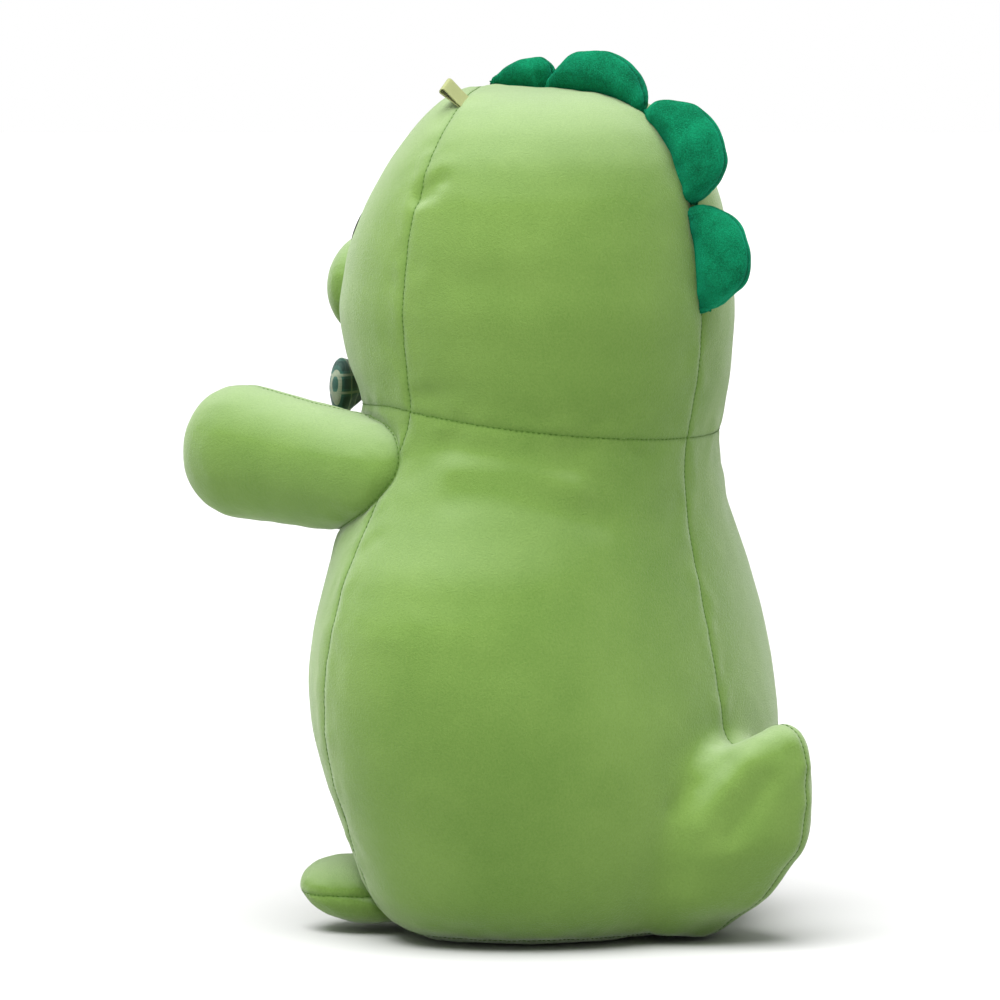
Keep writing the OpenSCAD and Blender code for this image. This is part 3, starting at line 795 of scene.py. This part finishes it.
# Creases and soft ridges of the left side, in mm: start, end, width, and depth (raised if
# negative). The right side has them too, fainter.
FOLDS = [
    ((90, -1, 377), (94, -15, 371), 4.5, 2.2), ((92, -3, 370), (93, -12, 367), 3.5, 1.5),
    ((24, 138, 94), (40, 119, 62), 6, -2.2), ((19, 147, 84), (33, 133, 56), 6, 1.8),
    ((26, 124, 94), (44, 107, 70), 6, 1.5), ((98, 7, 247), (66, 62, 239), 7, 1.5),
    ((105, 18, 222), (58, 76, 212), 9, 1.2), ((97, 16, 236), (66, 66, 226), 7, -1.2),
    ((70, 60, 247), (34, 82, 242), 5, 1.0), ((114, -18, 200), (112, 0, 188), 5, 1.2),
    ((96, -8, 272), (92, 14, 275), 5, 1.2), ((118, -42, 60), (112, -52, 40), 7, 1.6),
    ((0, 144, 106), (0, 160, 92), 9, -2.0), ((0, 118, 96), (0, 126, 97), 8, 4.2),
    ((0, 158, 66), (0, 128, 16), 15, -2.0), ((4, 100, 3), (0, 107, 5), 9, -2.0),
    ((96, 12, 330), (86, 48, 322), 10, 0.8), ((70, 60, 30), (30, 96, 22), 9, 1.2),
]


def crease(co, normal):
    """Presses the folds into the surface."""
    sunk = np.zeros(len(co))
    for start, end, width, depth in FOLDS:
        for side, share in ((1, 1.0), (-1, 0.6)):
            a = np.array(start) * MM * (side, 1, 1)
            run = np.array(end) * MM * (side, 1, 1) - a
            t = np.clip((co - a) @ run / (run @ run), 0, 1)
            gap = np.linalg.norm(co - a - t[:, None] * run, axis=1)
            sunk += share * depth * MM * np.exp(-(gap / (width * MM)) ** 2)
    return co - normal * sunk[:, None]


def soft_floor(co):
    """0 on the floor, 1 well above it."""
    return np.clip((co[:, 2] - 4 * MM) / (20 * MM), 0, 1)


# ---- stitches -------------------------------------------------------------------------

def stitch_tree():
    """Geometry nodes that lay short thread stitches along lines."""
    tree = bpy.data.node_groups.new("thread_stitches", "GeometryNodeTree")
    face = tree.interface
    sockets = {}
    face.new_socket("Geometry", in_out="OUTPUT", socket_type="NodeSocketGeometry")
    for name, kind in (("Geometry", "Geometry"), ("Pitch", "Float"), ("Length", "Float"),
                       ("Thickness", "Float"), ("Seed", "Int"), ("Thread", "Material")):
        item = face.new_socket(name, in_out="INPUT", socket_type="NodeSocket" + kind)
        sockets[name] = item.identifier

    def add(kind, links=None, values=None, **settings):
        node = tree.nodes.new(kind)
        for key, value in settings.items():
            setattr(node, key, value)
        for key, value in (values or {}).items():
            node.inputs[key].default_value = value
        for key, socket in (links or {}).items():
            tree.links.new(socket, node.inputs[key])
        return node

    given = add("NodeGroupInput").outputs
    curve = add("GeometryNodeMeshToCurve", {"Mesh": given["Geometry"]})
    even = add("GeometryNodeResampleCurve", {"Curve": curve.outputs[0], "Length": given["Pitch"]},
               mode="LENGTH")
    tangent = add("GeometryNodeInputTangent")
    turn = add("FunctionNodeAlignRotationToVector", {"Vector": tangent.outputs[0]}, axis="Z")
    wander = add("FunctionNodeRandomValue", {"Seed": given["Seed"]}, data_type="FLOAT_VECTOR")
    wander.inputs["Min"].default_value = (0.85, 0.85, 0.8)
    wander.inputs["Max"].default_value = (1.15, 1.15, 1.1)
    ball = add("GeometryNodeMeshUVSphere", values={"Segments": 6, "Rings": 5, "Radius": 0.5})
    size = add("ShaderNodeCombineXYZ", {
        "X": given["Thickness"], "Y": given["Thickness"], "Z": given["Length"]})
    stitch = add("GeometryNodeTransform", {"Geometry": ball.outputs[0], "Scale": size.outputs[0]})
    laid = add("GeometryNodeInstanceOnPoints", {
        "Points": even.outputs[0], "Instance": stitch.outputs[0],
        "Rotation": turn.outputs[0], "Scale": wander.outputs[0]})
    real = add("GeometryNodeRealizeInstances", {"Geometry": laid.outputs[0]})
    coloured = add("GeometryNodeSetMaterial", {
        "Geometry": real.outputs[0], "Material": given["Thread"]})
    out = add("NodeGroupOutput")
    tree.links.new(coloured.outputs[0], out.inputs[0])
    return tree, sockets


def sewn_line(name, lines, tree, sockets, material, lift, pitch=2.8 * MM, length=1.7 * MM,
              thickness=0.5 * MM, seed=4):
    """Stitches along point pairs, lifted off the bottom of the seam."""
    index, verts, edges = {}, [], []
    for pair in lines:
        ends = []
        for p, n in pair:
            key = tuple(round(c * 1e6) for c in p)
            if key not in index:
                index[key] = len(verts)
                verts.append(p + n * lift)
            ends.append(index[key])
        if ends[0] != ends[1]:
            edges.append(ends)
    obj = new_object(name, verts, [], edges)
    mod = obj.modifiers.new("stitches", "NODES")
    mod.node_group = tree
    for key, value in (("Pitch", pitch), ("Length", length), ("Thickness", thickness),
                       ("Seed", seed), ("Thread", material)):
        mod[sockets[key]] = value
    applied(obj)
    for p in obj.data.polygons:
        p.use_smooth = True
    return obj


def crossing_line(obj, tree):
    """The line where a surface meets another, as a closed ring of (point, normal) pairs."""
    co, out, pairs = points(obj), normals(obj), edge_pairs(obj)
    s = distances(co, tree, 8 * MM)
    hits = []
    for a, b in pairs:
        if s[a] * s[b] < 0 and abs(s[a]) < 7.9 * MM and abs(s[b]) < 7.9 * MM:
            t = s[a] / (s[a] - s[b])
            hits.append((co[a] + (co[b] - co[a]) * t, out[a] + (out[b] - out[a]) * t))
    if len(hits) < 3:
        return []
    spots = np.array([h[0] for h in hits])
    ways = np.array([h[1] for h in hits])
    mid = spots.mean(axis=0)
    _, _, axes = np.linalg.svd(spots - mid, full_matrices=False)
    flat = (spots - mid) @ axes[:2].T
    angle = np.arctan2(flat[:, 1], flat[:, 0])
    ring = []
    steps = 120
    for k in range(steps):
        lo = -math.pi + 2 * math.pi * k / steps
        near = (angle >= lo) & (angle < lo + 2 * math.pi / steps)
        if near.any():
            n = ways[near].mean(axis=0)
            ring.append((Vector(spots[near].mean(axis=0)), Vector(n / np.linalg.norm(n))))
    return [(ring[i], ring[(i + 1) % len(ring)]) for i in range(len(ring))]


# ---- arms and feet ----------------------------------------------------------------------

def limb_skin(name, nodes, voxel, pressure, cap):
    skin = remeshed(joined(name, nodes), voxel)
    relaxed(skin, 12)
    inflated(skin, pressure, cap)
    relaxed(skin, 4)
    return subdivided(skin)


def make_arm(side, trunk_tree, minky):
    """An arm's outer and inner cover, with a seam along its top and bottom."""
    word = "left" if side > 0 else "right"
    pivot = joint_named(f"{word}_arm_hug")["pos_m"]
    skin = limb_skin(f"arm_{word}", [f"arm_{word}_outer", f"arm_{word}_inner",
                                     f"arm_{word}_stuffing"], 4 * MM, 3.0, 4 * MM)
    tree = tree_of(skin)
    across = lambda co: (co[:, 0] - pivot[0]) * side
    made, lines = sew_panels(
        skin, [f"arm_{word}_outer_cover", f"arm_{word}_inner_cover"],
        lambda co: np.abs(across(co)), [(across, lambda co: np.ones(len(co), bool))],
        lambda co: np.where(across(co) > 0, 0, 1), ARM_SEAM, [trunk_tree])
    drop(skin)
    for obj, node in zip(made, ("outer", "inner")):
        finish_skin(obj, minky)
        obj["stands_for"] = f"arm_{word}_{node}"
    return made, lines, tree, word


def make_foot(side, trunk_tree, minky):
    """A foot's top and sole, with a seam all round its edge."""
    word = "left" if side > 0 else "right"
    skin = limb_skin(f"foot_{word}", [f"foot_{word}_top", f"foot_{word}_sole",
                                      f"foot_{word}_stuffing"], 3 * MM, 3.0, 3 * MM)
    low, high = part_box(f"foot_{word}_stuffing")
    level = (low.z + high.z) / 2
    co = points(skin)
    co[:, 1] += SOLE_TUCK * np.maximum(0, level - co[:, 2])
    set_points(skin, co)
    tree = tree_of(skin)
    above = lambda co: co[:, 2] - level
    made, lines = sew_panels(
        skin, [f"foot_{word}_top_cover", f"foot_{word}_sole_cover"],
        lambda co: np.abs(above(co)), [(above, lambda co: np.ones(len(co), bool))],
        lambda co: np.where(above(co) > 0, 0, 1), FOOT_SEAM, [trunk_tree])
    drop(skin)
    for obj, node in zip(made, ("top", "sole")):
        finish_skin(obj, minky)
        obj["stands_for"] = f"foot_{word}_{node}"
    return made, lines, tree, word


# ---- crest --------------------------------------------------------------------------------

# The crest's turns are measured about a point this far above the bottom of the head's fill
CREST_MIDDLE = 90 * MM
PATH_POINTS = 41


def crest_middle():
    return Vector((0, 0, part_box("head_stuffing")[0].z + CREST_MIDDLE))


def seam_path(trunk_tree, start, end):
    """Points of the skin's back seam, and the directions out of it, from start to end."""
    middle = crest_middle()
    spots = []
    for turn in np.linspace(start, end, PATH_POINTS):
        way = Vector((0, math.sin(turn), math.cos(turn)))
        spots.append(first_hit(trunk_tree, middle + way * 0.4 + Vector((4 * MM, 0, 0)), -way))
    path = np.array([(0, p.y, p.z) for p in spots])
    for _ in range(6):
        path[1:-1] = (path[:-2] + path[1:-1] * 2 + path[2:]) / 4
    along = np.gradient(path, axis=0)
    along /= np.linalg.norm(along, axis=1, keepdims=True)
    return path, along, np.cross([1.0, 0, 0], along)


def spike_extent(k):
    """Where scallop k starts and ends, as turns about the middle of the head, and its tip."""
    middle = crest_middle().z
    co = np.array([v.co[:] for v in NODES[f"spike_{k}_left"].data.vertices])
    turn = np.arctan2(co[:, 1], co[:, 2] - middle)
    return turn.min(), turn.max(), co[np.argmax(np.hypot(co[:, 1], co[:, 2] - middle))]


# How far each scallop leans back along the seam, and where along it stands highest
LEANS = {1: 0.35, 2: -0.62, 3: -0.2, 4: -0.1}
SKEWS = {1: 1.6, 2: 1.15, 3: 1.4, 4: 1.1}
# A scallop runs past its ends by this turn, and sinks this deep into the head
SPIKE_SPARE = 0.01
SPIKE_SINK = 8 * MM


def spike_skin(k, trunk_tree):
    """A closed puffy scallop that stands on the back seam and sits into the head."""
    start, end, tip = spike_extent(k)
    rows, cols = 72, 72
    path, along, out = seam_path(trunk_tree, start - SPIKE_SPARE, end + SPIKE_SPARE)
    shares = np.linspace(0, 1, PATH_POINTS)
    near = np.argmin(np.linalg.norm(path - tip, axis=1))
    height = (1.15 if k == 1 else 0.97) * (tip - path[near]) @ out[near]
    half = 7 * MM if k == 1 else 10.5 * MM
    verts = []
    for i in range(rows + 1):
        a = (1 - math.cos(math.pi * i / rows)) / 2
        spot, up, run = (np.array([np.interp(a, shares, line[:, c]) for c in range(3)])
                         for line in (path, out, along))
        u = 2 * a ** SKEWS[k] - 1
        tall = height * max(0.0, 1 - abs(u) ** 2.4) ** 0.58
        wide = half * max(0.0, 1 - abs(2 * a - 1) ** 5) ** 0.5
        for j in range(cols):
            v = 2 * math.pi * j / cols
            c, rise = math.cos(v), math.sin(v)
            deep = SPIKE_SINK * min(1, tall / SPIKE_SINK + 0.15)
            level = (tall if rise > 0 else deep) * rise
            puff = 0.45 + 0.55 * min(1.0, max(0.0, level) / (9 * MM)) ** 0.7
            x = wide * math.copysign(abs(c) ** 0.8, c) * puff
            slide = LEANS[k] * max(0, level) * (a - 0.1)
            verts.append(spot + up * level + run * slide + np.array([x, 0, 0]))
    faces = [(i * cols + j, (i + 1) * cols + j, (i + 1) * cols + (j + 1) % cols,
              i * cols + (j + 1) % cols) for i in range(rows) for j in range(cols)]
    obj = new_object(f"spike_{k}", verts, faces)
    bm = bmesh.new()
    bm.from_mesh(obj.data)
    bmesh.ops.remove_doubles(bm, verts=bm.verts, dist=1e-5)
    bmesh.ops.recalc_face_normals(bm, faces=bm.faces)
    bm.to_mesh(obj.data)
    bm.free()
    return obj, (path, out)


def make_spike(k, velvet, trunk_tree):
    """A padded velvet scallop with a seam along its ridge and gathers at its root."""
    skin, (path, out) = spike_skin(k, trunk_tree)
    relaxed(skin, 2)
    co, normal = points(skin), normals(skin)
    near = np.argmin(np.linalg.norm(co[:, None, 1:] - path[None, :, 1:], axis=2), axis=1)
    rise = np.einsum("ij,ij->i", co - path[near], out[near])
    share = near / (len(path) - 1)
    ends = np.minimum(share, 1 - share)
    folds = np.sin(share * 34 + k * 2 + rise * 90) * np.exp(-(ends / 0.16) ** 2)
    dents = wobble(co, 15 * MM, k) * 1.5 + wobble(co, 7 * MM, k + 9) * 0.5
    low = np.exp(-np.maximum(0, rise) / (9 * MM))
    co = co - normal * ((folds * low * 1.1 + dents * 0.8) * MM)[:, None]
    set_points(skin, co)
    made, lines = sew_panels(
        skin, [f"spike_{k}_left_cover", f"spike_{k}_right_cover"],
        lambda co: np.abs(co[:, 0]), [(lambda co: co[:, 0], lambda co: np.ones(len(co), bool))],
        lambda co: np.where(co[:, 0] > 0, 0, 1), SPIKE_SEAM)
    drop(skin)
    for obj, node in zip(made, ("left", "right")):
        finish_skin(obj, velvet, VELVET_T)
        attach(obj, f"spike_{k}")
        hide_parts(f"spike_{k}_{node}", f"spike_{k}_stuffing")
    return lines


# ---- bow, ribbon loop ---------------------------------------------------------------------

def make_bow(side, plaid):
    """One gathered loop of the bow."""
    word = "left" if side > 0 else "right"
    skin = remeshed(joined(f"bow_{word}_loop", [f"bow_loop_{word}"]), 1.6 * MM)
    relaxed(skin, 6)
    inflated(skin, 2.0, 2 * MM)
    low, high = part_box(f"bow_loop_{word}")
    middle = (low + high) / 2
    co, normal = points(skin), normals(skin)
    run = (np.abs(co[:, 0]) - 8 * MM) / (high.x - low.x)
    lean = np.arctan2(co[:, 2] - middle.z, np.abs(co[:, 0]) + 4 * MM)
    pleats = np.sin(lean * 26 + side) * np.exp(-(run / 0.4) ** 2)
    drape = wobble(co, 13 * MM, 5) * 0.9
    set_points(skin, co - normal * ((pleats * 1.3 + drape) * MM)[:, None])
    subdivided(skin)
    dressed(skin, plaid)
    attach(skin, "torso")
    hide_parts(f"bow_loop_{word}")


def make_knot(plaid):
    """The band round the middle of the bow, pinched into folds."""
    skin = remeshed(joined("bow_knot_band", ["bow_knot"]), 1.2 * MM)
    relaxed(skin, 5)
    co, normal = points(skin), normals(skin)
    folds = np.sin(co[:, 0] / (1.5 * MM) + wobble(co, 14 * MM, 2) * 1.5)
    set_points(skin, co - normal * (folds * 0.55 * MM)[:, None])
    dressed(skin, plaid)
    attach(skin, "torso")
    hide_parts("bow_knot")


def make_ribbon_loop(satin):
    """A short ribbon folded over, its ends sunk into the face seam."""
    joint = joint_named("hang_loop_flip")
    root, along = np.array(joint["pos_m"]), np.array(joint["axis"])
    co = np.array([v.co[:] for v in NODES["hang_loop"].data.vertices])
    width = np.ptp((co - root) @ along) / 2
    centre = co.mean(axis=0)
    out = centre - root - ((centre - root) @ along) * along
    out /= np.linalg.norm(out)
    side = np.cross(along, out)
    reach = ((co - root) @ out).max()
    bulge = 1.7 * MM
    path = [(-3.5 * MM, 0.45 * MM), (0, 0.5 * MM), (reach * 0.3, 0.8 * MM)]
    for turn in np.linspace(70, -70, 9):
        a = math.radians(turn)
        path.append((reach - bulge + bulge * math.cos(a), bulge * math.sin(a)))
    path += [(x, -y) for x, y in path[2::-1]]
    steps = 10
    verts = [root + out * x + side * y + along * width * (2 * j / steps - 1)
             for x, y in path for j in range(steps + 1)]
    faces = [(i * (steps + 1) + j, (i + 1) * (steps + 1) + j, (i + 1) * (steps + 1) + j + 1,
              i * (steps + 1) + j + 1) for i in range(len(path) - 1) for j in range(steps)]
    obj = new_object("ribbon_loop", verts, faces)
    obj.data.materials.append(satin)
    mod = obj.modifiers.new("round", "SUBSURF")
    mod.levels = mod.render_levels = 2
    mod = obj.modifiers.new("cloth", "SOLIDIFY")
    mod.thickness, mod.offset = 0.55 * MM, 0
    applied(obj)
    for p in obj.data.polygons:
        p.use_smooth = True
    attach(obj, "hang_loop")
    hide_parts("hang_loop")
    2 * (reach + 3.5 * MM)


# ---- everything ---------------------------------------------------------------------------

def make_all():
    minky, velvet = minky_material(), velvet_material()
    thread = thread_material("seam_thread", (0.050, 0.125, 0.010), (0.095, 0.20, 0.028))
    crest_thread = thread_material("crest_thread", (0.0005, 0.06, 0.025), (0.001, 0.16, 0.07))
    stuffing = thread_material("white_fill", (0.8, 0.8, 0.76), (0.9, 0.9, 0.87))
    shape = Trunk_shape()
    trunk = trunk_skin(shape)
    trunk_tree = tree_of(trunk)
    tree, sockets = stitch_tree()

    limbs = []
    for side in (1, -1):
        for maker, joint in ((make_arm, "arm_hug"), (make_foot, "foot_flex")):
            covers, lines, limb_tree, word = maker(side, trunk_tree, minky)
            limbs.append((covers, lines, limb_tree, word, joint))
    snout = limb_skin("snout", ["snout_cover", "snout_stuffing"], 2.5 * MM, 3.0, 2 * MM)
    sunk = np.clip(normals(snout)[:, 1] * 2, 0, 1) * SNOUT_SINK
    set_points(snout, points(snout) + np.stack([0 * sunk, sunk, 0 * sunk], axis=1))
    snout_tree = tree_of(snout)

    everywhere = lambda co: np.ones(len(co), bool)
    cuts = [
        (shape.neck, everywhere),
        (shape.face, lambda co: shape.neck(co) > -0.5 * MM),
        (shape.belly, lambda co: shape.neck(co) < 0.5 * MM),
        (lambda co: co[:, 0], lambda co: np.where(
            shape.neck(co) > 0, shape.face(co), shape.belly(co)) > -0.5 * MM),
        (lambda co: co[:, 2] - BASE_SEAM_Z, lambda co: co[:, 1] < TAIL_START_Y + 5 * MM),
    ]
    trees = [limb[2] for limb in limbs] + [snout_tree]
    rings = {i: crossing_line(trunk, t) for i, t in enumerate(trees)}
    panels, lines = sew_panels(trunk, [p + "_cover" for p in PANELS], shape.seams, cuts,
                               lambda co: panel_of(shape, co), TRUNK_SEAM, trees)
    drop(trunk)
    for obj, node in zip(panels, PANELS):
        finish_skin(obj, minky)
        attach(obj, "torso")
        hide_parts(node, *FILLED.get(node, ()))
    for ring in rings.values():
        lines = lines + ring
    seams = sewn_line("trunk_seam_thread", lines, tree, sockets, thread, STITCH_LIFT)
    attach(seams, "torso")

    snout.data.attributes.new("seam", "FLOAT", "POINT").data.foreach_set(
        "value", np.full(len(snout.data.vertices), 0.05, np.float32))
    dressed(snout, minky)
    snout.name = "snout_pad"
    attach(snout, "torso")
    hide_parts("snout_cover", "snout_stuffing")

    for covers, limb_lines, limb_tree, word, joint in limbs:
        body = joint_named(f"{word}_{joint}")
        part = body["child"]
        threads = sewn_line(f"{part}_seam_thread", limb_lines, tree, sockets, thread, STITCH_LIFT)
        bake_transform(threads)
        for cover in covers:
            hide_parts(cover["stands_for"], f"{part}_stuffing")
            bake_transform(cover)

    for k in range(1, 5):
        spike_lines = make_spike(k, velvet, trunk_tree)
        edge = sewn_line(f"spike_{k}_seam_thread", spike_lines, tree, sockets, crest_thread,
                         0.1 * MM, pitch=2.4 * MM, length=1.8 * MM, thickness=0.4 * MM)
        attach(edge, f"spike_{k}")

    plaid, satin = plaid_material(), satin_material()
    make_bow(1, plaid)
    make_bow(-1, plaid)
    make_knot(plaid)
    make_ribbon_loop(satin)
    ink = thread_material("black_embroidery", (0.003, 0.003, 0.0035), (0.012, 0.012, 0.012))
    for name, obj in NODES.items():
        finish = (plaid if name.startswith("bow") else satin if name == "hang_loop"
                  else ink if name in ("eye_left", "eye_right", "nostrils", "mouth_stitch")
                  else stuffing if name.endswith("stuffing") else minky)
        for slot in obj.material_slots:
            slot.material = finish


make_camera()
make_studio()
make_all()
